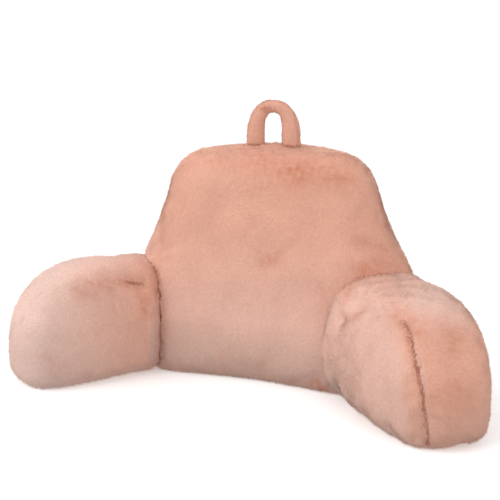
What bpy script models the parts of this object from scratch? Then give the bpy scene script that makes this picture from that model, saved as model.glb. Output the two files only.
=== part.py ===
"""A reading pillow with arms: a reclined backrest, two splayed arms and a carry handle.

Metres, +Z up. The pillow stands on z = 0 and faces -Y. The backrest and the handle are the same on
both sides of x = 0; the arms are mirror images but for their roots, which are sewn on unevenly.
Each stuffed piece is a loft of rounded sections with a Subdivision Surface on it. The arms and the
handle are then cut back to the backrest, so that they meet it at their seams.
"""

import math

import bmesh
import bpy
from mathutils import Vector

# Driving dimensions
BACK_HEIGHT = 0.432  # floor to the crest of the backrest
CREST_RADIUS = 0.066  # how far the top edge is rounded over
CREST_POWER = 2.24  # superellipse power of the rounding over the crest
BASE_RADIUS = 0.020  # how high above the floor the bottom edge starts to tuck in
BASE_POWER = 2.0  # superellipse power of the rounding under the bottom edge
BASE_TUCK = 0.7  # how far the bottom edge tucks in at the floor, as a share of its radius
BASE_FLAT = 0.94  # the part of the lowest section that stays flat on the floor
CREST_SAG = 0.023  # how much lower the crest is at its ends than in the middle
SAG_POWER = 4  # how quickly the sag grows up the backrest: most of it is in the crest
REAR_CROWN = 0.030  # how far the rear panel bulges behind its corners
BACK_CORNER = 3.0  # superellipse power of a level section: 2 is an oval, more is squarer
SEAM_GAP = 0.0003  # clear space kept where two sewn pieces meet
FOOTPRINT_SHIFT = -0.0579  # moves the middle of the footprint to the origin
LEAST_WIDTH = 0.001  # a rounded end narrows to this share of its width, so its last section is not a point

# Level sections of the backrest. The hollow is how far the front sinks in between its sides.
BACK_COLUMNS = ("height", "front_half_width", "rear_half_width", "front", "rear", "hollow")
BACK_SECTIONS = (
    (0.000, 0.212, 0.310, 0.050, 0.219, 0.053),
    (0.100, 0.212, 0.314, 0.059, 0.220, 0.042),
    (0.200, 0.212, 0.316, 0.071, 0.221, 0.031),
    (0.250, 0.213, 0.268, 0.079, 0.221, 0.025),
    (0.300, 0.212, 0.232, 0.086, 0.221, 0.020),
    (0.370, 0.205, 0.198, 0.097, 0.221, 0.012),
    (0.432, 0.198, 0.186, 0.108, 0.221, 0.005),
)
BACK_HEIGHTS = (0.0, 0.006, 0.022, 0.06, 0.11, 0.16, 0.21, 0.26, 0.31, 0.35, 0.385, 0.41, 0.425, 0.4315)
BACK_SIDES = 28  # points round a level section

# An arm's root lies along the backrest's side, and its tip points forward and outward. The roots
# are sewn on unevenly: the right one sits further round to the front and overhangs its underside.
# The tuck is how far the inner side draws in underneath, as a share of the section's half width.
ARM_COLUMNS = ("name", "mirrored", "root_front", "root_height", "root_tuck")
ARMS = (
    ("arm_right", False, Vector((0.161, -0.008)), 0.216, 0.42),
    ("arm_left", True, Vector((0.205, -0.002)), 0.209, 0.05),
)
ROOT_REAR = Vector((0.296, 0.185))  # floor point at the rear end of the root
TIP_INNER = Vector((0.347, -0.152))  # floor point that the inner side leads to
TIP_OUTER = Vector((0.453, -0.073))  # floor point that the outer side leads to
TIP_HEIGHT = 0.226  # the height that the top line would reach without its rounded end
ARM_SWELL = 0.0115  # how far the arm's sides bulge half-way along
ARM_CORNER = 3.5  # superellipse power of an upright section
UNDERSIDE_RADIUS = 0.040  # how far the sides tuck in under the arm
FLAT_CUT = 1.04  # the underside's depth before it is cut flat, as a share of its radius
PLAN_ROUNDING_START = 0.75  # share of the length where the tip starts to narrow, seen from above
PLAN_ROUNDING_POWER = 2.6
SIDE_ROUNDING_START = 0.335  # share of the length where the top line starts to drop
SIDE_ROUNDING_POWER = 2.28
ARM_STATIONS = (0.0, 0.12, 0.25, 0.38, 0.51, 0.63, 0.74, 0.84, 0.92, 0.97, 1.0)
ARM_SIDES = 22  # points round an upright section
ROOT_DEPTHS = ((0.045, 0.85), (0.020, 0.97))  # depth inside the backrest, share of the root section

# The carry handle: a stuffed loop that stands on the crest.
HANDLE_Y = 0.160
HANDLE_HALF_SPAN = 0.035  # between the middle of the loop and the middle of a leg
HANDLE_RISE = 0.062  # crest to the middle of the loop's top
HANDLE_LEG = 0.038  # across a leg
HANDLE_TOP = 0.024  # across the top of the loop
HANDLE_DEPTH = 0.026  # front to rear
HANDLE_SQUARENESS = 2.4  # superellipse power of the loop
HANDLE_FOOT = 0.030  # how far the legs run down before they are cut back to the crest
HANDLE_STATIONS = 13
HANDLE_SIDES = 10

PLUSH_COLOUR = (0.745, 0.445, 0.363, 1.0)
PLUSH_ROUGHNESS = 0.95


def superellipse(angle, power):
    """The point at this angle on a superellipse that fills the square from -1 to 1."""
    across, along = math.cos(angle), math.sin(angle)
    return (
        math.copysign(abs(across) ** (2 / power), across),
        math.copysign(abs(along) ** (2 / power), along),
    )


def rounded_end(share, power):
    """1 where an end starts to be rounded (share 0), falling to almost 0 at its tip (share 1)."""
    return max(LEAST_WIDTH, 1 - max(0.0, share) ** power) ** (1 / power)


def back_row(height):
    """The named sizes of the backrest at this height, between the rows of its table."""
    for low, high in zip(BACK_SECTIONS, BACK_SECTIONS[1:]):
        if height <= high[0]:
            break
    share = (height - low[0]) / (high[0] - low[0])
    return {
        name: below + (above - below) * share
        for name, below, above in zip(BACK_COLUMNS, low, high)
    }


def back_ring(height):
    """One level section of the backrest, with the hollow front and the crowned rear."""
    row = back_row(height)
    crest = CREST_RADIUS * (1 - rounded_end(1 - (BACK_HEIGHT - height) / CREST_RADIUS, CREST_POWER))
    base = BASE_RADIUS * BASE_TUCK * (1 - rounded_end(1 - height / BASE_RADIUS, BASE_POWER))
    inset = crest + base
    middle = (row["front"] + row["rear"]) / 2
    half_depth = (row["rear"] - row["front"]) / 2 - inset
    ring = []
    for step in range(BACK_SIDES):
        across, along = superellipse(2 * math.pi * step / BACK_SIDES, BACK_CORNER)
        rearness = (along + 1) / 2
        half_width = row["front_half_width"] * (1 - rearness) + row["rear_half_width"] * rearness
        x = across * (half_width - inset)
        y = middle + half_depth * along
        y -= row["hollow"] * across**2 * (1 - rearness)
        y += REAR_CROWN * (1 - across**2) * rearness
        sag = CREST_SAG * (height / BACK_HEIGHT) ** SAG_POWER
        ring.append(Vector((x, y, height - sag * (x / row["front_half_width"]) ** 2)))
    return ring


def back_rings():
    """The backrest's sections from the floor up, the first one inside the second, for a flat base."""
    rings = [back_ring(height) for height in BACK_HEIGHTS]
    middle = sum(rings[0], Vector()) / BACK_SIDES
    return [[middle.lerp(point, BASE_FLAT) for point in rings[0]]] + rings


def arm_ring(start, end, height, narrowing, lowering, tuck):
    """One upright section of an arm, across the floor points start and end, flat underneath."""
    middle = (start + end) / 2
    half = (end - start) / 2 * narrowing
    top = UNDERSIDE_RADIUS + (height - UNDERSIDE_RADIUS) * lowering
    underside = UNDERSIDE_RADIUS * narrowing * FLAT_CUT
    ring = []
    for step in range(ARM_SIDES):
        across, up = superellipse(2 * math.pi * step / ARM_SIDES, ARM_CORNER)
        if across < 0 and up < 0:
            across *= 1 + tuck * up
        place = middle + half * across
        reach = top - UNDERSIDE_RADIUS if up > 0 else underside
        ring.append(Vector((place.x, place.y, max(0.0, UNDERSIDE_RADIUS + reach * up))))
    return ring


def arm_rings(root_front, root_height, root_tuck):
    """An arm's sections, from inside the backrest to the rounded tip."""
    along_root = (ROOT_REAR - root_front).normalized()
    inward = Vector((-along_root.y, along_root.x))
    rings = []
    for depth, share in ROOT_DEPTHS:
        shift = inward * depth
        start = root_front + shift
        end = ROOT_REAR + shift
        rings.append(arm_ring(start, end, root_height, share, share, root_tuck))
    for station in ARM_STATIONS:
        start = root_front.lerp(TIP_INNER, station)
        end = ROOT_REAR.lerp(TIP_OUTER, station)
        height = root_height + (TIP_HEIGHT - root_height) * station
        plan_share = (station - PLAN_ROUNDING_START) / (1 - PLAN_ROUNDING_START)
        side_share = (station - SIDE_ROUNDING_START) / (1 - SIDE_ROUNDING_START)
        swell = 1 + 2 * ARM_SWELL / (end - start).length * math.sin(math.pi * station)
        narrowing = rounded_end(plan_share, PLAN_ROUNDING_POWER) * swell
        lowering = rounded_end(side_share, SIDE_ROUNDING_POWER)
        tuck = root_tuck * (1 - station)
        rings.append(arm_ring(start, end, height, narrowing, lowering, tuck))
    return rings


def handle_rings():
    """Sections of the carry handle, along a loop from its left foot to its right foot."""
    path = [(math.pi, -HANDLE_FOOT)]
    path += [(math.pi * (1 - step / (HANDLE_STATIONS - 1)), 0.0) for step in range(HANDLE_STATIONS)]
    path += [(0.0, -HANDLE_FOOT)]
    rings = []
    for angle, drop in path:
        across, up = superellipse(angle, HANDLE_SQUARENESS)
        middle = Vector((HANDLE_HALF_SPAN * across, HANDLE_Y, BACK_HEIGHT + HANDLE_RISE * up + drop))
        # Each section lies across the loop, in line with the middle of its two feet.
        outward = Vector((math.cos(angle), 0, math.sin(angle)))
        thickness = HANDLE_LEG + (HANDLE_TOP - HANDLE_LEG) * max(0.0, math.sin(angle)) ** 2
        ring = []
        for step in range(HANDLE_SIDES):
            turn = 2 * math.pi * step / HANDLE_SIDES
            offset = outward * math.cos(turn) * thickness / 2
            offset += Vector((0, HANDLE_DEPTH / 2 * math.sin(turn), 0))
            ring.append(middle + offset)
        rings.append(ring)
    return rings


def loft(name, rings, material, collection, mirrored=False):
    """A closed soft form over the rings, with flat ends and a Subdivision Surface."""
    mesh = bmesh.new()
    side = -1 if mirrored else 1
    loops = [[mesh.verts.new((side * p.x, p.y, p.z)) for p in ring] for ring in rings]
    for lower, upper in zip(loops, loops[1:]):
        for step in range(len(lower)):
            following = (step + 1) % len(lower)
            mesh.faces.new((lower[step], lower[following], upper[following], upper[step]))
    mesh.faces.new(loops[0])
    mesh.faces.new(loops[-1])
    bmesh.ops.recalc_face_normals(mesh, faces=mesh.faces)
    data = bpy.data.meshes.new(name)
    mesh.to_mesh(data)
    mesh.free()
    data.materials.append(material)
    data.shade_smooth()
    piece = bpy.data.objects.new(name, data)
    collection.objects.link(piece)
    softened = piece.modifiers.new("Softened", "SUBSURF")
    softened.levels = 1
    softened.render_levels = 1
    return piece


def plush(name):
    """The short plush that every cover panel is cut from."""
    material = bpy.data.materials.new(name)
    material.use_nodes = True
    shader = material.node_tree.nodes["Principled BSDF"]
    shader.inputs["Base Color"].default_value = PLUSH_COLOUR
    shader.inputs["Roughness"].default_value = PLUSH_ROUGHNESS
    shader.inputs["Metallic"].default_value = 0.0
    return material


def new_collection(name):
    collection = bpy.data.collections.new(name)
    bpy.context.scene.collection.children.link(collection)
    return collection


def seam_cutter(backrest, collection):
    """The backrest grown by the seam gap, which the sewn-on pieces are cut back to."""
    cutter = bpy.data.objects.new("backrest_grown", backrest.data.copy())
    collection.objects.link(cutter)
    softened = cutter.modifiers.new("Softened", "SUBSURF")
    softened.levels = 1
    softened.render_levels = 1
    grown = cutter.modifiers.new("Grown", "DISPLACE")
    grown.mid_level = 0.0
    grown.strength = SEAM_GAP
    cutter.hide_render = True
    cutter.display_type = "WIRE"
    return cutter


def cut_back(piece, cutter):
    """Cuts a piece back to the backrest."""
    cut = piece.modifiers.new("Sewn seam", "BOOLEAN")
    cut.operation = "DIFFERENCE"
    cut.solver = "EXACT"
    cut.object = cutter


for old in list(bpy.data.objects):
    bpy.data.objects.remove(old, do_unlink=True)

pieces = new_collection("reading_pillow")
cutters = new_collection("cutters")
pillow = bpy.data.objects.new("reading_pillow", None)
pillow.location.y = FOOTPRINT_SHIFT
pieces.objects.link(pillow)

backrest = loft("backrest", back_rings(), plush("backrest plush"), pieces)
cutter = seam_cutter(backrest, cutters)
sewn_on = [loft("carry_handle", handle_rings(), plush("carry_handle plush"), pieces)]
for row in ARMS:
    arm = dict(zip(ARM_COLUMNS, row))
    rings = arm_rings(arm["root_front"], arm["root_height"], arm["root_tuck"])
    material = plush(arm["name"] + " plush")
    sewn_on.append(loft(arm["name"], rings, material, pieces, arm["mirrored"]))
for piece in sewn_on:
    cut_back(piece, cutter)
for piece in (backrest, cutter, *sewn_on):
    piece.parent = pillow
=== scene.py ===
"""A reading pillow with arms, in plush: a stuffed backrest, two stuffed arms and a carry loop.

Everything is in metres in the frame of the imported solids, which these soft pieces stand in for.
"""

import math

import bmesh
import bpy
import numpy as np
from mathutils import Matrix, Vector
from mathutils.bvhtree import BVHTree
from mathutils.kdtree import KDTree


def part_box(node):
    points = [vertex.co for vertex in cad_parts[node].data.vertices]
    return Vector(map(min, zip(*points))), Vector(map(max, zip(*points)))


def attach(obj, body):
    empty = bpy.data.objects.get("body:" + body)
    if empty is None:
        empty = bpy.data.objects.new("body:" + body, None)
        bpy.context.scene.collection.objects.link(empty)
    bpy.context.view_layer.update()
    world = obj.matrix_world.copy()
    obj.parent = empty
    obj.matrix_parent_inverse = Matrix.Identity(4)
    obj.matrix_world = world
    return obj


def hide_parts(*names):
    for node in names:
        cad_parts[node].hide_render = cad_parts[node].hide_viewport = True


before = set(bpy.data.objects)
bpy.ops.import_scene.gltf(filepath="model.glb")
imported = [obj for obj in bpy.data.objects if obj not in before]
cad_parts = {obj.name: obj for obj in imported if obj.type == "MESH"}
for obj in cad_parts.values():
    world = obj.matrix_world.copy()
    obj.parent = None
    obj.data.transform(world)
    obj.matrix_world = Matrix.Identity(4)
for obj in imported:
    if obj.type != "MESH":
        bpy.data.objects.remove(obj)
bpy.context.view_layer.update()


# The stuffed body
# The backrest and the arms are bags of knitted plush, sewn to each other and filled with polyester
# fibre. They are blown up as one skin that the seams hold down, and cut apart along the seams after.

PILE_LENGTH = 0.010  # one lock of pile, from the backing to its tip
PILE_DEPTH = 0.0055  # how far the pile stands above the backing once it lies down
PILE_SPACING = 0.0021  # between one lock and the next
PILE_WIDTH = 0.0015  # across one lock, a few times wider than a real one so that it shows
BACKING_INSET = 0.0025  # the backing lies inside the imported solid, and the softest tips reach past it
SKIN_VOXEL = 0.007  # mesh size of the skin before it is subdivided once
BASE_DEPTH = 0.0006  # height of the backing under the pillow, pressed flat against the floor
BASE_BAND = 0.040  # height over which the underside goes back to the full inset
SEAM_REACH = 0.009  # how far to each side a sewn seam pulls the cover down
SEAM_DEPTH = 0.005  # how far it is pulled down where an arm meets the backrest
WRAP_SHARE = 0.45  # the same at a wrap seam, as a share of that
ROOT_HOLD = 0.006  # how near an arm's root the seam holds the cover while it is stuffed
WRAP_HOLD = 0.005  # the same at a wrap seam
WRAP_GRIP = 0.9  # and how firmly it does, where it shows most
HELD_BELOW = 0.002  # the stuffing does not lift the cover that lies lower than this
STUFFING_PRESSURE = 4.0
STUFFING_STEPS = 20
SPARE_CLOTH = 0.03  # the share by which the cover is cut larger than the solid
MOST_SWELL = 0.0040  # the most that the stuffing pushes the cover out
ROOT_NEAR = 0.010  # a root seam lies where both solids are nearer than this
CREASE_REACH = 0.0035  # the narrow crease along the stitches
CREASE_DEPTH = 0.0025
SHADE_REACH = 0.005  # how far from the stitches the backing is darkened with painted shade
OPEN_SEAM = 0.7  # how openly a wrap seam has to show for the pile to leave it bare
SEAM_WIDTH = 0.0009  # the bare line between the two sides' pile
PARTING = 0.004  # how far to each side of a seam the pile leans away from it
ON_FLOOR = 0.004  # the cover below this height rests on the floor

# Where an arm's inner panel is sewn to its outer wrap, from the arm's root along the top, round the
# front of the tip and down to the floor. The arms are sewn on unevenly, so each has its own.
WRAP_SEAMS = {
    "arm_right": (
        (0.170, -0.064, 0.158),
        (0.190, -0.081, 0.164),
        (0.221, -0.094, 0.187),
        (0.265, -0.112, 0.185),
        (0.299, -0.140, 0.189),
        (0.317, -0.163, 0.170),
        (0.328, -0.177, 0.148),
        (0.338, -0.186, 0.116),
        (0.345, -0.190, 0.080),
        (0.352, -0.190, 0.030),
        (0.354, -0.186, 0.000),
    ),
    "arm_left": (
        (-0.186, -0.022, 0.178),
        (-0.213, -0.042, 0.178),
        (-0.233, -0.065, 0.184),
        (-0.250, -0.086, 0.187),
        (-0.290, -0.125, 0.190),
        (-0.320, -0.148, 0.184),
        (-0.335, -0.158, 0.175),
        (-0.348, -0.172, 0.151),
        (-0.356, -0.181, 0.110),
        (-0.362, -0.184, 0.050),
        (-0.364, -0.180, 0.000),
    ),
}
# Where a wrap seam shows: place, radius, how openly. The pile closes over the rest of it.
GLIMPSES = (
    ((0.335, -0.180, 0.085), 0.148, 1.0),
    ((0.215, -0.090, 0.175), 0.100, 0.65),
    ((-0.210, -0.044, 0.180), 0.024, 1.0),
    ((-0.343, -0.167, 0.160), 0.020, 0.65),
)
# Gathers where two seams meet, and dents left by handling: place, radius, depth.
DENTS = (
    ((0.180, -0.068, 0.163), 0.013, 0.008),
    ((0.196, -0.048, 0.198), 0.014, 0.005),
    ((-0.203, -0.036, 0.175), 0.014, 0.008),
    ((0.324, -0.188, 0.109), 0.012, 0.003),
    ((0.131, -0.014, 0.030), 0.012, 0.003),
    ((0.028, 0.017, 0.229), 0.022, 0.002),
)


def smooth_route(points, step=0.001):
    """Points every step along a smooth curve through these ones."""
    points = [Vector(p) for p in points]
    ends = [points[0] * 2 - points[1], *points, points[-1] * 2 - points[-2]]
    route = []
    for a, b, c, d in zip(ends, ends[1:], ends[2:], ends[3:]):
        count = max(2, int((c - b).length / step))
        for i in range(count):
            t = i / count
            bend = (2 * a - 5 * b + 4 * c - d) * t**2
            route.append(0.5 * (2 * b + (c - a) * t + bend + (3 * b - a - 3 * c + d) * t**3))
    return route + [points[-1]]


def tree_of(points):
    """These points, kept so that the nearest one to a place is found quickly."""
    tree = KDTree(len(points))
    for i, point in enumerate(points):
        tree.insert(point, i)
    tree.balance()
    return tree


def distances(places, tree):
    """How far each place is from the nearest point of the tree."""
    return np.array([tree.find(p)[2] for p in places])


def falloff(far, reach, power=2):
    """1 at no distance, falling smoothly to almost nothing beyond this reach."""
    return np.exp(-((far / reach) ** power))


def spot(places, middle, radius, power=2):
    """The same, for how far these places are from one point."""
    return falloff(np.linalg.norm(places - np.array(middle), axis=1), radius, power)


def shown(places):
    """How openly a wrap seam shows at these places, from 0 to 1."""
    return np.max([most * spot(places, middle, radius, 4) for middle, radius, most in GLIMPSES], axis=0)


def zero_line(made, values, near):
    """Points about a millimetre apart along the line where these values change sign on a cover."""
    places = points_of(made)
    line = []
    for face in made.data.polygons:
        corners = list(face.vertices)
        if not near[corners].all():
            continue
        found = []
        for a, b in zip(corners, corners[1:] + corners[:1]):
            if values[a] * values[b] < 0:
                found.append(places[a] + (places[b] - places[a]) * values[a] / (values[a] - values[b]))
        if len(found) == 2:
            line += [found[0] + (found[1] - found[0]) * step / 4 for step in range(5)]
    return line


def solid_copy(*nodes):
    """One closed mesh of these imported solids, with their loose triangles joined."""
    mesh = bmesh.new()
    for node in nodes:
        mesh.from_mesh(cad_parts[node].data)
    bmesh.ops.remove_doubles(mesh, verts=mesh.verts, dist=1e-5)
    return mesh


def finished(name, mesh):
    """A bmesh as a smooth object of the scene, at the origin."""
    data = bpy.data.meshes.new(name)
    mesh.to_mesh(data)
    mesh.free()
    data.shade_smooth()
    made = bpy.data.objects.new(name, data)
    bpy.context.scene.collection.objects.link(made)
    return made


def worked(made, kind, **settings):
    """Puts one modifier's result into the object's mesh."""
    modifier = made.modifiers.new(kind.title(), kind)
    for name, value in settings.items():
        setattr(modifier, name, value)
    graph = bpy.context.evaluated_depsgraph_get()
    data = bpy.data.meshes.new_from_object(made.evaluated_get(graph), depsgraph=graph)
    made.modifiers.clear()
    old = made.data
    made.data = data
    bpy.data.meshes.remove(old)


def table_of(data, what, width=3):
    """One property of all these mesh elements, as rows of numbers."""
    found = np.empty(len(data) * width)
    data.foreach_get(what, found)
    return found.reshape(-1, width) if width > 1 else found


def points_of(made):
    return table_of(made.data.vertices, "co")


def normals_of(made):
    return table_of(made.data.vertex_normals, "vector")


def moved_to(made, places):
    made.data.vertices.foreach_set("co", places.ravel())
    made.data.update()


def surface_of(made):
    """A cover's surface, kept so that its nearest point to a place is found quickly."""
    return BVHTree.FromPolygons(points_of(made).tolist(), [face.vertices[:] for face in made.data.polygons])


def measure(made, name, values=None):
    """Reads a number kept at every point of a cover, or keeps it there."""
    kept = made.data.attributes.get(name) or made.data.attributes.new(name, "FLOAT", "POINT")
    if values is not None:
        kept.data.foreach_set("value", np.asarray(values, np.float32))
    return table_of(kept.data, "value", 1)


def stuffed(made, held, most):
    """Blows a cover up with its stuffing, while it stays where it is held, from 0 to 1."""
    start = points_of(made)
    group = made.vertex_groups.new(name="held")
    for i in np.flatnonzero(held > 0.01):
        group.add([int(i)], float(held[i]), "REPLACE")
    cloth = made.modifiers.new("Stuffing", "CLOTH")
    cloth.settings.quality = 5
    cloth.settings.mass = 0.3
    cloth.settings.tension_stiffness = 15
    cloth.settings.compression_stiffness = 15
    cloth.settings.shear_stiffness = 5
    cloth.settings.bending_stiffness = 0.3
    cloth.settings.shrink_min = -SPARE_CLOTH
    cloth.settings.use_pressure = True
    cloth.settings.uniform_pressure_force = STUFFING_PRESSURE
    cloth.settings.vertex_group_mass = "held"
    cloth.settings.effector_weights.gravity = 0
    cloth.collision_settings.use_collision = False
    for step in range(1, STUFFING_STEPS + 1):
        bpy.context.scene.frame_set(step)
    graph = bpy.context.evaluated_depsgraph_get()
    blown = points_of(made.evaluated_get(graph))
    made.modifiers.clear()
    made.vertex_groups.clear()
    bpy.context.scene.frame_set(1)
    moved = blown - start
    far = np.linalg.norm(moved, axis=1, keepdims=True)
    moved *= most * np.tanh(far / most) / np.maximum(far, 1e-9)
    moved_to(made, start + moved)


def pressed(made, depths):
    """Moves each point of a cover straight in by its depth."""
    moved_to(made, points_of(made) - normals_of(made) * depths[:, None])


BODY_NODES = ("backrest", "arm_left", "arm_right")
body = finished("body", solid_copy(*BODY_NODES))
worked(body, "REMESH", mode="VOXEL", voxel_size=SKIN_VOXEL)
worked(body, "CORRECTIVE_SMOOTH", iterations=3, use_only_smooth=True)

shapes = {}
for node in BODY_NODES:
    copy = solid_copy(node)
    shapes[node] = BVHTree.FromBMesh(copy)
    copy.free()

places = points_of(body)
reach = {node: np.array([shapes[node].find_nearest(p)[3] for p in places]) for node in BODY_NODES}
arms_reach = np.minimum(reach["arm_left"], reach["arm_right"])
root_gap = measure(body, "root_gap", np.maximum(reach["backrest"], arms_reach))
measure(body, "armward", reach["backrest"] - arms_reach)
wrap_line = [shapes[node].find_nearest(p)[0] for node in WRAP_SEAMS for p in smooth_route(WRAP_SEAMS[node])]
wrap_gap = distances(places, tree_of(wrap_line))
for face in body.data.polygons:
    nearest = [shapes[node].find_nearest(face.center)[3] for node in BODY_NODES]
    face.material_index = nearest.index(min(nearest))

depths = np.full(len(places), BACKING_INSET)
depths += SEAM_DEPTH * falloff(root_gap, SEAM_REACH)
depths += SEAM_DEPTH * WRAP_SHARE * shown(places) * falloff(wrap_gap, SEAM_REACH)
pressed(body, depths)
places = points_of(body)
floor_share = np.clip((places[:, 2] - BACKING_INSET) / (BASE_BAND - BACKING_INSET), 0, None)
low = places[:, 2] < BASE_BAND
places[low, 2] = BASE_DEPTH + (BASE_BAND - BASE_DEPTH) * floor_share[low]
moved_to(body, places)

held = np.where(places[:, 2] < HELD_BELOW, 1.0, 0.0)
held = np.maximum(held, falloff(root_gap, ROOT_HOLD, 4))
held = np.maximum(held, WRAP_GRIP * shown(places) * falloff(wrap_gap, WRAP_HOLD, 4))
stuffed(body, held, MOST_SWELL)
worked(body, "SUBSURF", levels=1, render_levels=1)

skin = surface_of(body)
wrap_line = np.array([skin.find_nearest(p)[0] for p in wrap_line])
root_line = zero_line(body, measure(body, "armward"), measure(body, "root_gap") < ROOT_NEAR)
bare_lines = [*root_line, *wrap_line[shown(wrap_line) > OPEN_SEAM]]
places = points_of(body)
seam_gap = distances(places, tree_of(bare_lines))
depths = CREASE_DEPTH * falloff(seam_gap, CREASE_REACH)
for middle, radius, depth in DENTS:
    depths += depth * spot(places, middle, radius)
depths[places[:, 2] < ON_FLOOR] = 0
pressed(body, depths)
# Painted shade in the creases along the seams, kept for the backing's colour.
measure(body, "seam", falloff(seam_gap, SHADE_REACH))
# The seam lines now lie at the bottom of their creases.
skin = surface_of(body)
seams = tree_of([skin.find_nearest(p)[0] for p in bare_lines])

# Where the pile has been brushed against its lay and shows darker: two ends of the stroke, how far
# it reaches to each side, and how strong it is. The long one along the backrest's foot is painted
# shade. The last two are on the carry loop.
STROKES = (
    ((0.000, 0.050, 0.393), (0.069, 0.050, 0.386), 0.030, 0.27),
    ((0.069, 0.048, 0.384), (0.140, 0.051, 0.378), 0.030, 0.32),
    ((-0.090, 0.055, 0.397), (0.000, 0.055, 0.398), 0.020, 0.16),
    ((0.124, 0.052, 0.380), (0.164, 0.054, 0.370), 0.012, 0.16),
    ((-0.010, 0.036, 0.348), (0.054, 0.036, 0.350), 0.028, 0.10),
    ((0.012, 0.016, 0.226), (0.036, 0.017, 0.229), 0.012, 0.34),
    ((0.038, 0.018, 0.236), (0.074, 0.024, 0.276), 0.009, 0.16),
    ((0.190, 0.026, 0.224), (0.222, 0.036, 0.231), 0.016, 0.28),
    ((0.194, 0.021, 0.214), (0.187, -0.017, 0.205), 0.012, 0.26),
    ((0.187, -0.017, 0.205), (0.184, -0.050, 0.190), 0.010, 0.30),
    ((0.183, -0.075, 0.156), (0.223, -0.099, 0.184), 0.009, 0.32),
    ((0.120, 0.008, 0.190), (0.150, 0.006, 0.150), 0.014, 0.14),
    ((-0.120, 0.012, 0.180), (-0.100, 0.004, 0.110), 0.018, 0.08),
    # Painted shade along the foot of the backrest, by the floor.
    ((-0.200, -0.012, 0.008), (0.130, -0.013, 0.008), 0.014, 0.24),
    ((0.122, -0.014, 0.022), (0.142, -0.015, 0.012), 0.010, 0.55),
    ((-0.060, -0.008, 0.022), (-0.050, -0.004, 0.060), 0.012, 0.14),
    ((0.020, -0.008, 0.022), (0.030, -0.004, 0.060), 0.012, 0.14),
    ((-0.204, -0.034, 0.178), (-0.194, -0.044, 0.122), 0.012, 0.46),
    ((-0.236, -0.066, 0.183), (-0.206, -0.036, 0.179), 0.012, 0.34),
    ((-0.278, -0.126, 0.178), (-0.250, -0.090, 0.182), 0.018, 0.36),
    ((-0.318, -0.178, 0.070), (-0.300, -0.172, 0.045), 0.016, 0.18),
    ((0.287, -0.135, 0.196), (0.318, -0.155, 0.181), 0.018, 0.34),
    ((0.333, -0.134, 0.193), (0.374, -0.131, 0.173), 0.022, 0.16),
    ((0.374, -0.131, 0.173), (0.374, -0.148, 0.158), 0.014, 0.22),
    ((0.383, -0.170, 0.108), (0.404, -0.160, 0.092), 0.015, 0.26),
    ((0.368, -0.183, 0.095), (0.390, -0.174, 0.071), 0.022, 0.14),
    ((-0.018, 0.090, 0.490), (-0.010, 0.092, 0.483), 0.004, 0.80),
    ((0.040, 0.102, 0.482), (0.050, 0.099, 0.430), 0.003, 0.45),
)


def ripple(places, wavelength, seed):
    """A smooth uneven wave over these places, mostly between -1 and 1, made of eight plain ones."""
    chance = np.random.default_rng(seed)
    total = np.zeros(len(places))
    for _ in range(8):
        way = chance.normal(size=3)
        way *= 2 * np.pi / wavelength / chance.uniform(0.7, 1.5) / np.linalg.norm(way)
        total += np.sin(places @ way + chance.uniform(0, 2 * np.pi))
    return total / 2


def brushed_and_foot_shade(places):
    """How far the pile at these places has been brushed the wrong way, from 0 to 1, with painted shade
    along the backrest's foot.
    """
    total = np.zeros(len(places))
    for start, end, width, strength in STROKES:
        start, along = np.array(start), np.array(end) - np.array(start)
        share = np.clip((places - start) @ along / (along @ along), 0, 1)
        far = np.linalg.norm(places - start - share[:, None] * along, axis=1)
        total += strength * falloff(far, width)
    return np.clip(total * (0.88 + 0.22 * ripple(places, 0.014, 5)), 0, 1)


ARMS_FROM = 0.19  # the arms lie farther than this to each side


def paled_and_highlit(places, facing):
    """How much paler the pile is, from 0 to 1: on the left arm, over the right one, and low down. On the
    left arm's tip and the right arm's top this is a painted highlight.
    """
    # Painted highlight on the left arm's tip.
    tip = np.clip((-ARMS_FROM - places[:, 0]) / 0.15, 0, 0.9)
    inner = 0.45 * np.clip((0.05 - facing[:, 0]) / 0.4, 0, 1) * (places[:, 0] > 0.15)
    low = 0.45 * np.clip((0.30 - places[:, 2]) / 0.22, 0, 1) * (np.abs(places[:, 0]) < ARMS_FROM)
    # Painted highlight on the right arm's top, where it faces up.
    top = 0.65 * np.clip((facing[:, 2] - 0.65) / 0.3, 0, 1) * np.clip((places[:, 0] - 0.20) / 0.12, 0, 1)
    return np.max([tip, inner, low, top], axis=0)


def painted_low_shade(places, facing):
    """How much painted shade greys the pile, from 0 to 1: near the floor, and most between the arms."""
    low = np.clip((0.12 - places[:, 2]) / 0.12, 0, 1)
    between = (np.abs(places[:, 0]) < ARMS_FROM) & (facing[:, 1] < 0)
    return low * np.where(between, 0.75, 0.35)


def shaded(made, places, facing, times=1):
    """Keeps how brushed and how pale the pile is at each of these places, with its painted highlights and
    its painted shade near the floor, for its material.
    """
    measure(made, "stroke", np.repeat(brushed_and_foot_shade(places), times))
    measure(made, "pale_and_highlit", np.repeat(paled_and_highlit(places, facing), times))
    measure(made, "painted_low_shade", np.repeat(painted_low_shade(places, facing), times))


def unit(rows):
    """Rows of numbers, each scaled to a length of 1."""
    return rows / np.maximum(np.linalg.norm(rows, axis=1, keepdims=True), 1e-9)


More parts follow.
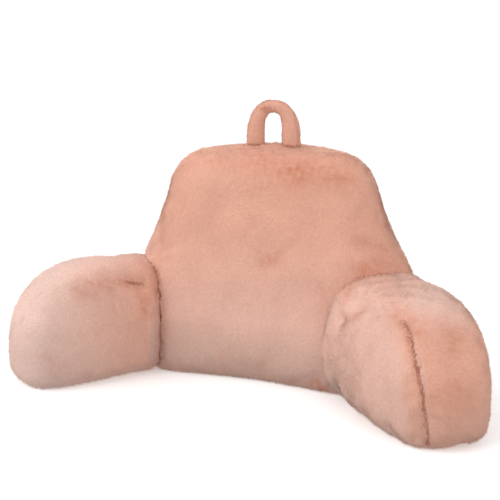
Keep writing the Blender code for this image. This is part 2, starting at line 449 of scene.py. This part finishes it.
# How the lay of the pile wanders: the most that it turns, in radians, over what length, and the seed.
LAY_WAVES = ((0.35, 0.16, 2), (0.30, 0.035, 3), (0.22, 0.010, 4))
STROKE_TURN = 0.9  # how far a full stroke turns a lock
LOCK_TURN = 0.22  # how far locks differ from their neighbours
PARTING_LEAN = 1.2  # how strongly a lock leans away from a seam
SEAM_SHORTER = 0.35  # the share by which a lock is shorter at a seam
STROKE_LIFT = 0.25  # the share by which a full stroke raises a lock
UNDERSIDE = -0.7  # the cover faces the floor where its normal's height is less than this
ROW_HEIGHT = 0.01  # the locks are put in order in rows of this height
ROOT_SINK = 0.0012  # how deep in the backing a lock starts
LOCK_THICKNESS = 0.45  # as a share of its width
LEAST_HEIGHT = 0.0003  # no lock reaches through the floor
LOCK_IN_CELL = np.array([[0.15, 0.3], [0.85, 0.3], [0.5, 0.08], [0.5, 0.92]])


def pile(name, cover, chosen, combed, spacing, length, depth, width, seed, seams):
    """Locks of pile rooted all over the chosen faces of a cover, combed over and laid down."""
    chance = np.random.default_rng(seed)
    data = cover.data
    data.calc_loop_triangles()
    triangles = table_of(data.loop_triangles, "vertices").astype(int)
    owners = table_of(data.loop_triangles, "polygon_index", 1).astype(int)
    triangles = triangles[chosen[owners]]
    places, normals = points_of(cover), normals_of(cover)
    corners = places[triangles]
    one_side, other_side = corners[:, 1] - corners[:, 0], corners[:, 2] - corners[:, 0]
    areas = np.linalg.norm(np.cross(one_side, other_side), axis=1) / 2
    count = int(areas.sum() / spacing**2)
    marks = (np.arange(count) + chance.uniform(size=count)) / count * areas.sum()
    picked = triangles[np.minimum(np.searchsorted(np.cumsum(areas), marks), len(areas) - 1)]
    a, b = chance.uniform(size=(2, count))
    over = a + b > 1
    a[over], b[over] = 1 - a[over], 1 - b[over]
    shares = np.stack([1 - a - b, a, b], axis=1)
    roots = np.einsum("ij,ijk->ik", shares, places[picked])
    up = unit(np.einsum("ij,ijk->ik", shares, normals[picked]))
    seam = np.einsum("ij,ij->i", shares, measure(cover, "seam")[picked])
    # None grows in a bare seam, or on the part of the underside that rests on the floor.
    keep = (distances(roots, seams) > SEAM_WIDTH / 2) & ((roots[:, 2] > ON_FLOOR) | (up[:, 2] > UNDERSIDE))
    order = np.flatnonzero(keep)
    order = order[np.lexsort((roots[order, 0], np.floor(roots[order, 2] / ROW_HEIGHT)))]
    roots, up, seam = roots[order], up[order], seam[order]
    count = len(order)

    # Each lock lies the way it is combed, turned by waves in the pile, by strokes and by chance.
    strokes = brushed_and_foot_shade(roots)
    lay = np.tile(np.array(combed, float), (count, 1))
    lay = unit(lay - up * np.sum(lay * up, axis=1, keepdims=True))
    side = np.cross(up, lay)
    turn = sum(most * ripple(roots, wavelength, wave) for most, wavelength, wave in LAY_WAVES)
    turn += STROKE_TURN * strokes + chance.normal(0, LOCK_TURN, count)
    lay = lay * np.cos(turn)[:, None] + side * np.sin(turn)[:, None]
    # Beside a seam it leans away from it.
    found = [seams.find(p) for p in roots]
    aside = roots - np.array([point for point, _, _ in found])
    aside = unit(aside - up * np.sum(aside * up, axis=1, keepdims=True))
    parting = PARTING_LEAN * falloff(np.array([far for _, _, far in found]), PARTING)
    lay = unit(lay + aside * parting[:, None])
    side = np.cross(up, lay)
    sizes = length * (1 + 0.04 * ripple(roots, 0.012, 6)) * chance.uniform(0.8, 1.1, count)
    sizes *= 1 - SEAM_SHORTER * seam
    rises = depth / length * (1 + 0.10 * ripple(roots, 0.02, 7)) * chance.uniform(0.75, 1.1, count)
    rises = np.clip(rises * (1 + STROKE_LIFT * strokes), 0.15, 0.9)
    way = unit(lay * np.sqrt(1 - rises**2)[:, None] + up * rises[:, None])
    widths = width * chance.uniform(0.75, 1.2, count)

    # A lock is a three-sided spike: two corners across, one behind them, and the tip.
    low = roots - up * ROOT_SINK
    points = np.stack(
        [
            low + side * widths[:, None] / 2,
            low - side * widths[:, None] / 2,
            low + np.cross(side, way) * widths[:, None] * LOCK_THICKNESS,
            low + way * sizes[:, None],
        ],
        axis=1,
    )
    points[..., 2] = np.maximum(points[..., 2], LEAST_HEIGHT)
    looks = np.stack([up * 0.9 + side * 0.4, up * 0.9 - side * 0.4, -up, up * 0.85 + way * 0.4], axis=1)
    faces = np.array([[0, 1, 3], [1, 2, 3], [2, 0, 3]])
    corners = (np.arange(count)[:, None, None] * 4 + faces).reshape(-1)

    mesh = bpy.data.meshes.new(name)
    mesh.vertices.add(count * 4)
    mesh.vertices.foreach_set("co", points.reshape(-1))
    mesh.loops.add(len(corners))
    mesh.loops.foreach_set("vertex_index", corners)
    mesh.polygons.add(count * 3)
    mesh.polygons.foreach_set("loop_start", np.arange(count * 3) * 3)
    mesh.update(calc_edges=True)
    mesh.validate()
    mesh.shade_smooth()
    mesh.normals_split_custom_set_from_vertices(unit(looks.reshape(-1, 3)))
    # Each lock has its own cell of a square map, for its colours to be baked into.
    cells = math.ceil(math.sqrt(count))
    cell = np.stack([np.arange(count) % cells, np.arange(count) // cells], axis=1)
    spots = (cell[:, None, :] + LOCK_IN_CELL) / cells
    mesh.uv_layers.new(name="OFBake").data.foreach_set("uv", spots.reshape(-1, 2)[corners].ravel())
    made = bpy.data.objects.new(name, mesh)
    bpy.context.scene.collection.objects.link(made)
    measure(made, "tuft", np.repeat(chance.uniform(size=count), 4))
    shaded(made, roots, up, 4)
    measure(made, "rise", np.tile([0, 0, 0, 1], count))
    # Light passes through real fibres, so the locks are lit as the surface that they lie on is.
    made.visible_shadow = False
    made.visible_diffuse = False
    return made


def linear(colour):
    """An sRGB hex colour as the linear colour that a shader takes."""
    parts = [int(colour[i : i + 2], 16) / 255 for i in (0, 2, 4)]
    return (*[c / 12.92 if c <= 0.04045 else ((c + 0.055) / 1.055) ** 2.4 for c in parts], 1.0)


def add(tree, kind, inputs=(), **settings):
    """Adds a node. Each of its inputs takes a number, a colour or another node's output."""
    node = tree.nodes.new(kind)
    for name, value in settings.items():
        setattr(node, name, value)
    for name, value in dict(inputs).items():
        if isinstance(value, bpy.types.NodeSocket):
            tree.links.new(value, node.inputs[name])
        else:
            node.inputs[name].default_value = value
    return node


LOW_SHADE_GREY = "9A857C"  # the grey of painted shade near the floor and between the arms
SEAM_SHADE = "9A6350"  # the backing in painted shade along the stitches
CLOUD = 0.075  # the colour drifts over about 75 mm
CLUMP = 0.005  # and the pile clumps over about 5 mm


def plush(name, warm, blush, deep, locks):
    """Sheared polyester plush, as its locks of pile or as the knitted backing under them.

    Its fibres are matt, with a soft bloom at glancing angles, and painted shade darkens their roots. It
    goes from its warm colour to the blush one where it is paler and under a painted highlight, to a grey
    under painted shade near the floor, and to the deep one where it is brushed and under painted shade
    along the backrest's foot. The backing darkens with painted shade along the seams.
    """
    material = bpy.data.materials.new(name)
    material.use_nodes = True
    tree = material.node_tree
    shader = tree.nodes["Principled BSDF"]
    shader.inputs["Roughness"].default_value = 0.95
    shader.inputs["Specular IOR Level"].default_value = 0.15
    shader.inputs["Sheen Weight"].default_value = 0.15
    shader.inputs["Sheen Roughness"].default_value = 0.45
    shader.inputs["Sheen Tint"].default_value = linear("F6C9B8")
    place = add(tree, "ShaderNodeTexCoord").outputs["Object"]
    cloud = add(tree, "ShaderNodeTexNoise", {"Vector": place, "Scale": 1 / CLOUD, "Detail": 3.0})
    spread = {"Value": cloud.outputs["Fac"], "From Min": 0.35, "From Max": 0.65}
    cloud = add(tree, "ShaderNodeMapRange", spread)
    fine = add(tree, "ShaderNodeTexNoise", {"Vector": place, "Scale": 1 / CLUMP, "Detail": 2.0})
    fine = add(tree, "ShaderNodeMapRange", {"Value": fine.outputs["Fac"], "From Min": 0.3, "From Max": 0.7})
    worn = add(tree, "ShaderNodeMath", {0: cloud.outputs[0], 1: 0.30}, operation="MULTIPLY").outputs[0]
    grain = add(tree, "ShaderNodeMath", {0: fine.outputs[0], 1: 0.30}, operation="MULTIPLY").outputs[0]
    mixed = add(tree, "ShaderNodeMath", {0: worn, 1: grain}, operation="ADD").outputs[0]
    # Paler where the pile's own tone is paler, and as a painted highlight on the left arm's tip and the
    # right arm's top.
    pale_and_highlit = add(tree, "ShaderNodeAttribute", attribute_name="pale_and_highlit").outputs["Fac"]
    tones = {0: pale_and_highlit, 6: linear(warm), 7: linear(blush)}
    tone = add(tree, "ShaderNodeMix", tones, data_type="RGBA").outputs[2]
    # Painted shade: the pile greys near the floor, and most between the arms.
    low_shade = add(tree, "ShaderNodeAttribute", attribute_name="painted_low_shade").outputs["Fac"]
    tone = add(tree, "ShaderNodeMix", {0: low_shade, 6: tone, 7: linear(LOW_SHADE_GREY)}, data_type="RGBA").outputs[2]
    # The deep colour where the pile is brushed, and as painted shade along the backrest's foot.
    stroke = add(tree, "ShaderNodeAttribute", attribute_name="stroke").outputs["Fac"]
    tone = add(tree, "ShaderNodeMix", {0: stroke, 6: tone, 7: linear(deep)}, data_type="RGBA").outputs[2]
    if locks:
        tuft = add(tree, "ShaderNodeAttribute", attribute_name="tuft").outputs["Fac"]
        tuft = add(tree, "ShaderNodeMath", {0: tuft, 1: 0.40}, operation="MULTIPLY").outputs[0]
        mixed = add(tree, "ShaderNodeMath", {0: mixed, 1: tuft}, operation="ADD").outputs[0]
        # Painted shade: each lock darkens towards the deep colour at its root, in place of the shadow that
        # the locks do not cast.
        rise = add(tree, "ShaderNodeAttribute", attribute_name="rise").outputs["Fac"]
        root = add(tree, "ShaderNodeMapRange", {"Value": rise, "To Min": 0.36, "To Max": 0.0}).outputs[0]
        tone = add(tree, "ShaderNodeMix", {0: root, 6: tone, 7: linear(deep)}, data_type="RGBA").outputs[2]
    else:
        # Painted shade: the backing darkens in the seam creases and at the carry loop's foot.
        seam = add(tree, "ShaderNodeAttribute", attribute_name="seam").outputs["Fac"]
        tones = {0: seam, 6: tone, 7: linear(SEAM_SHADE)}
        tone = add(tree, "ShaderNodeMix", tones, data_type="RGBA").outputs[2]
        bump = add(tree, "ShaderNodeBump", {"Height": fine.outputs[0], "Strength": 0.5, "Distance": 0.001})
        tree.links.new(bump.outputs[0], shader.inputs["Normal"])
    lift = add(tree, "ShaderNodeMapRange", {"Value": mixed, "To Min": 1.17, "To Max": 0.86}).outputs[0]
    tone = add(tree, "ShaderNodeVectorMath", {0: tone, "Scale": lift}, operation="SCALE").outputs[0]
    tree.links.new(tone, shader.inputs["Base Color"])
    return material


pile_finish = plush("plush_pile_sheared", "E2AF9A", "EBCFC5", "BC7355", True)
# The backing's colours are darker than the pile's, as painted shade under the pile that lies over it.
backing_finish = plush("plush_backing_knitted", "CB9581", "D2B3A8", "AC674C", False)
shaded(body, points_of(body), normals_of(body))
labels = table_of(body.data.polygons, "material_index", 1).astype(int)
facing = table_of(body.data.polygons, "normal")

for label, node in enumerate(BODY_NODES):
    mesh = bmesh.new()
    mesh.from_mesh(body.data)
    bmesh.ops.delete(mesh, geom=[f for f in mesh.faces if f.material_index != label], context="FACES")
    rim = [e for e in mesh.edges if e.is_boundary]
    # The cut along the seam is closed, so that each cover is a whole bag.
    filled = bmesh.ops.holes_fill(mesh, edges=rim, sides=0)["faces"]
    bmesh.ops.triangulate(mesh, faces=filled)
    for face in mesh.faces:
        face.material_index = 0
    cover = finished(node + "_cover", mesh)
    cover.data.materials.clear()
    cover.data.materials.append(backing_finish)
    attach(cover, "root")
    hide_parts(node)

DOWNWARD = (0.0, 0.25, -1.0)  # the way the pile is combed on the backrest
to_front = facing[:, 1] < -0.1
PILE_AREAS = (
    ("backrest_pile_front", (labels == 0) & to_front, DOWNWARD, 21),
    ("backrest_pile_rear", (labels == 0) & ~to_front, DOWNWARD, 22),
    ("arm_left_pile", labels == 1, (-0.45, 0.35, -0.8), 23),
    ("arm_right_pile", labels == 2, (0.45, 0.35, -0.8), 24),
)
for name, chosen, combed, seed in PILE_AREAS:
    locks = pile(name, body, chosen, combed, PILE_SPACING, PILE_LENGTH, PILE_DEPTH, PILE_WIDTH, seed, seams)
    locks.data.materials.append(pile_finish)
    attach(locks, "root")
bpy.data.objects.remove(body)


# The carry loop
# A flat strap of the same plush, folded into a soft tube and sewn into the crest seam at both ends.

LOOP_VOXEL = 0.003  # mesh size of the strap before it is subdivided once
LOOP_BACKING_INSET = 0.0004  # the strap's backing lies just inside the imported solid
LOOP_SWELL = 0.0008  # the most that the stuffing pushes it out
LOOP_FOOT_DROP = 0.006  # the ends run down past the crest's pile to its backing
LOOP_FOOT_BAND = 0.016  # height over which they do
LOOP_FOOT_SHADE = 0.004  # height of the line of painted shade where they are sewn in
LOOP_FOOT_DARK = 0.6  # and how dark it is, as a share
LOOP_FOLD = (-0.013, 0.091, 0.487)  # where the strap folds as it turns over
LOOP_FOLD_REACH = (0.010, 0.008, 0.007)  # to each side along the three axes
LOOP_FOLD_DEPTH = 0.004
LOOP_EDGE = ((0.039, 0.104, 0.484), (0.047, 0.097, 0.461), (0.050, 0.099, 0.430))  # its sewn edge
LOOP_EDGE_REACH = 0.002
LOOP_EDGE_DEPTH = 0.0015
LOOP_PILE_SPACING = 0.0016  # the strap's pile is shorter and finer than the rest
LOOP_PILE_LENGTH = 0.007
LOOP_PILE_DEPTH = 0.003
LOOP_PILE_WIDTH = 0.0014

loop = finished("carry_handle_cover", solid_copy("carry_handle"))
worked(loop, "REMESH", mode="VOXEL", voxel_size=LOOP_VOXEL)
worked(loop, "CORRECTIVE_SMOOTH", iterations=2, use_only_smooth=True)
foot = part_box("carry_handle")[0].z
pressed(loop, np.full(len(loop.data.vertices), LOOP_BACKING_INSET))
places = points_of(loop)
near_foot = np.clip(1 - (places[:, 2] - foot) / LOOP_FOOT_BAND, 0, 1)
places[:, 2] -= LOOP_FOOT_DROP * near_foot
moved_to(loop, places)
stuffed(loop, near_foot, LOOP_SWELL)
worked(loop, "SUBSURF", levels=1, render_levels=1)

places = points_of(loop)
fold = np.linalg.norm((places - np.array(LOOP_FOLD)) / np.array(LOOP_FOLD_REACH), axis=1)
edge = tree_of(smooth_route(LOOP_EDGE))
depths = LOOP_FOLD_DEPTH * falloff(fold, 1)
depths += LOOP_EDGE_DEPTH * falloff(distances(places, edge), LOOP_EDGE_REACH)
pressed(loop, depths)
# Painted shade along the foot, where the loop is sewn into the crest.
measure(loop, "seam", np.clip(1 - (places[:, 2] - foot) / LOOP_FOOT_SHADE, 0, 1) * LOOP_FOOT_DARK)
shaded(loop, places, normals_of(loop))
loop.data.materials.clear()
loop.data.materials.append(backing_finish)
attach(loop, "root")
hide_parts("carry_handle")

loop_pile = pile(
    "carry_handle_pile",
    loop,
    np.full(len(loop.data.polygons), True),
    (0.0, -0.3, -1.0),
    LOOP_PILE_SPACING,
    LOOP_PILE_LENGTH,
    LOOP_PILE_DEPTH,
    LOOP_PILE_WIDTH,
    31,
    edge,
)
loop_pile.data.materials.append(pile_finish)
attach(loop_pile, "root")


# The studio
# A plain floor of white paper, a white surround and two soft lamps, the stronger one in front and to
# the left. The camera is a long lens, a little above the pillow and to its right.

FLOOR_REACH = 12  # metres to each side
PAPER_CLOUD = 0.025  # metres across one of the paper's faint clouds
FLOOR_GLOW = 0.18  # the paper's own faint light, which keeps it near white
LIGHT_BELOW = 0.71  # the surround's light on the pillow, from below its level up to overhead
LIGHT_ABOVE = 0.83
WHITE_SEEN = 1.1  # and how bright the camera sees the surround

floor_mesh = bmesh.new()
bmesh.ops.create_grid(floor_mesh, x_segments=1, y_segments=1, size=FLOOR_REACH)
floor = finished("studio_floor", floor_mesh)
floor_finish = bpy.data.materials.new("floor_paper_matt")
floor_finish.use_nodes = True
paper = floor_finish.node_tree
place = add(paper, "ShaderNodeTexCoord").outputs["Object"]
fibres = add(paper, "ShaderNodeTexNoise", {"Vector": place, "Scale": 1 / PAPER_CLOUD})
whites = {0: fibres.outputs["Fac"], 6: linear("FAFAFA"), 7: linear("F6F6F6")}
white = add(paper, "ShaderNodeMix", whites, data_type="RGBA").outputs[2]
paper.links.new(white, paper.nodes["Principled BSDF"].inputs["Base Color"])
paper.nodes["Principled BSDF"].inputs["Roughness"].default_value = 0.9
paper.nodes["Principled BSDF"].inputs["Emission Color"].default_value = (1.0, 1.0, 1.0, 1.0)
paper.nodes["Principled BSDF"].inputs["Emission Strength"].default_value = FLOOR_GLOW
floor.data.materials.append(floor_finish)
# The floor lights the pillow less than it shows, as a white stand does in a darker room.
floor.visible_diffuse = False

surround = bpy.data.worlds.new("white_surround")
surround.use_nodes = True
way = add(surround.node_tree, "ShaderNodeTexCoord").outputs["Generated"]
height = add(surround.node_tree, "ShaderNodeSeparateXYZ", {"Vector": way}).outputs["Z"]
sky = {"Value": height, "From Min": -0.3, "From Max": 0.7, "To Min": LIGHT_BELOW, "To Max": LIGHT_ABOVE}
sky = add(surround.node_tree, "ShaderNodeMapRange", sky).outputs[0]
seen = add(surround.node_tree, "ShaderNodeLightPath").outputs["Is Camera Ray"]
glow = add(surround.node_tree, "ShaderNodeMix", {0: seen, 2: sky, 3: WHITE_SEEN}).outputs[0]
surround.node_tree.nodes["Background"].inputs["Color"].default_value = (1.0, 1.0, 1.0, 1.0)
surround.node_tree.links.new(glow, surround.node_tree.nodes["Background"].inputs["Strength"])
bpy.context.scene.world = surround


def soft_lamp(name, place, softness, strength):
    """A broad lamp far off in this direction, with its softness in degrees."""
    lamp = bpy.data.lights.new(name, "SUN")
    lamp.angle = math.radians(softness)
    lamp.energy = strength
    made = bpy.data.objects.new(name, lamp)
    made.rotation_euler = Vector(place).to_track_quat("Z", "Y").to_euler()
    bpy.context.scene.collection.objects.link(made)


soft_lamp("lamp_front", (-0.75, -0.55, 0.70), 50, 1.5)
soft_lamp("lamp_side", (0.75, -0.60, 0.50), 60, 0.65)
bpy.context.scene.view_settings.view_transform = "Standard"

AZIMUTH = math.radians(21.6)  # to the pillow's right
ELEVATION = math.radians(12.37)
DISTANCE = 1.528
TARGET = Vector((0.0175, -0.0579, 0.2601))  # the point in the middle of the view
SENSOR_WIDTH = 36  # millimetres
FOCAL_LENGTH = 64.65  # millimetres
level = math.cos(ELEVATION)
back = Vector((math.sin(AZIMUTH) * level, -math.cos(AZIMUTH) * level, math.sin(ELEVATION)))
lens = bpy.data.cameras.new("camera")
lens.sensor_width = SENSOR_WIDTH
lens.lens = FOCAL_LENGTH
camera = bpy.data.objects.new("camera", lens)
camera.location = TARGET + back * DISTANCE
camera.rotation_euler = back.to_track_quat("Z", "Y").to_euler()
bpy.context.scene.collection.objects.link(camera)
bpy.context.scene.camera = camera
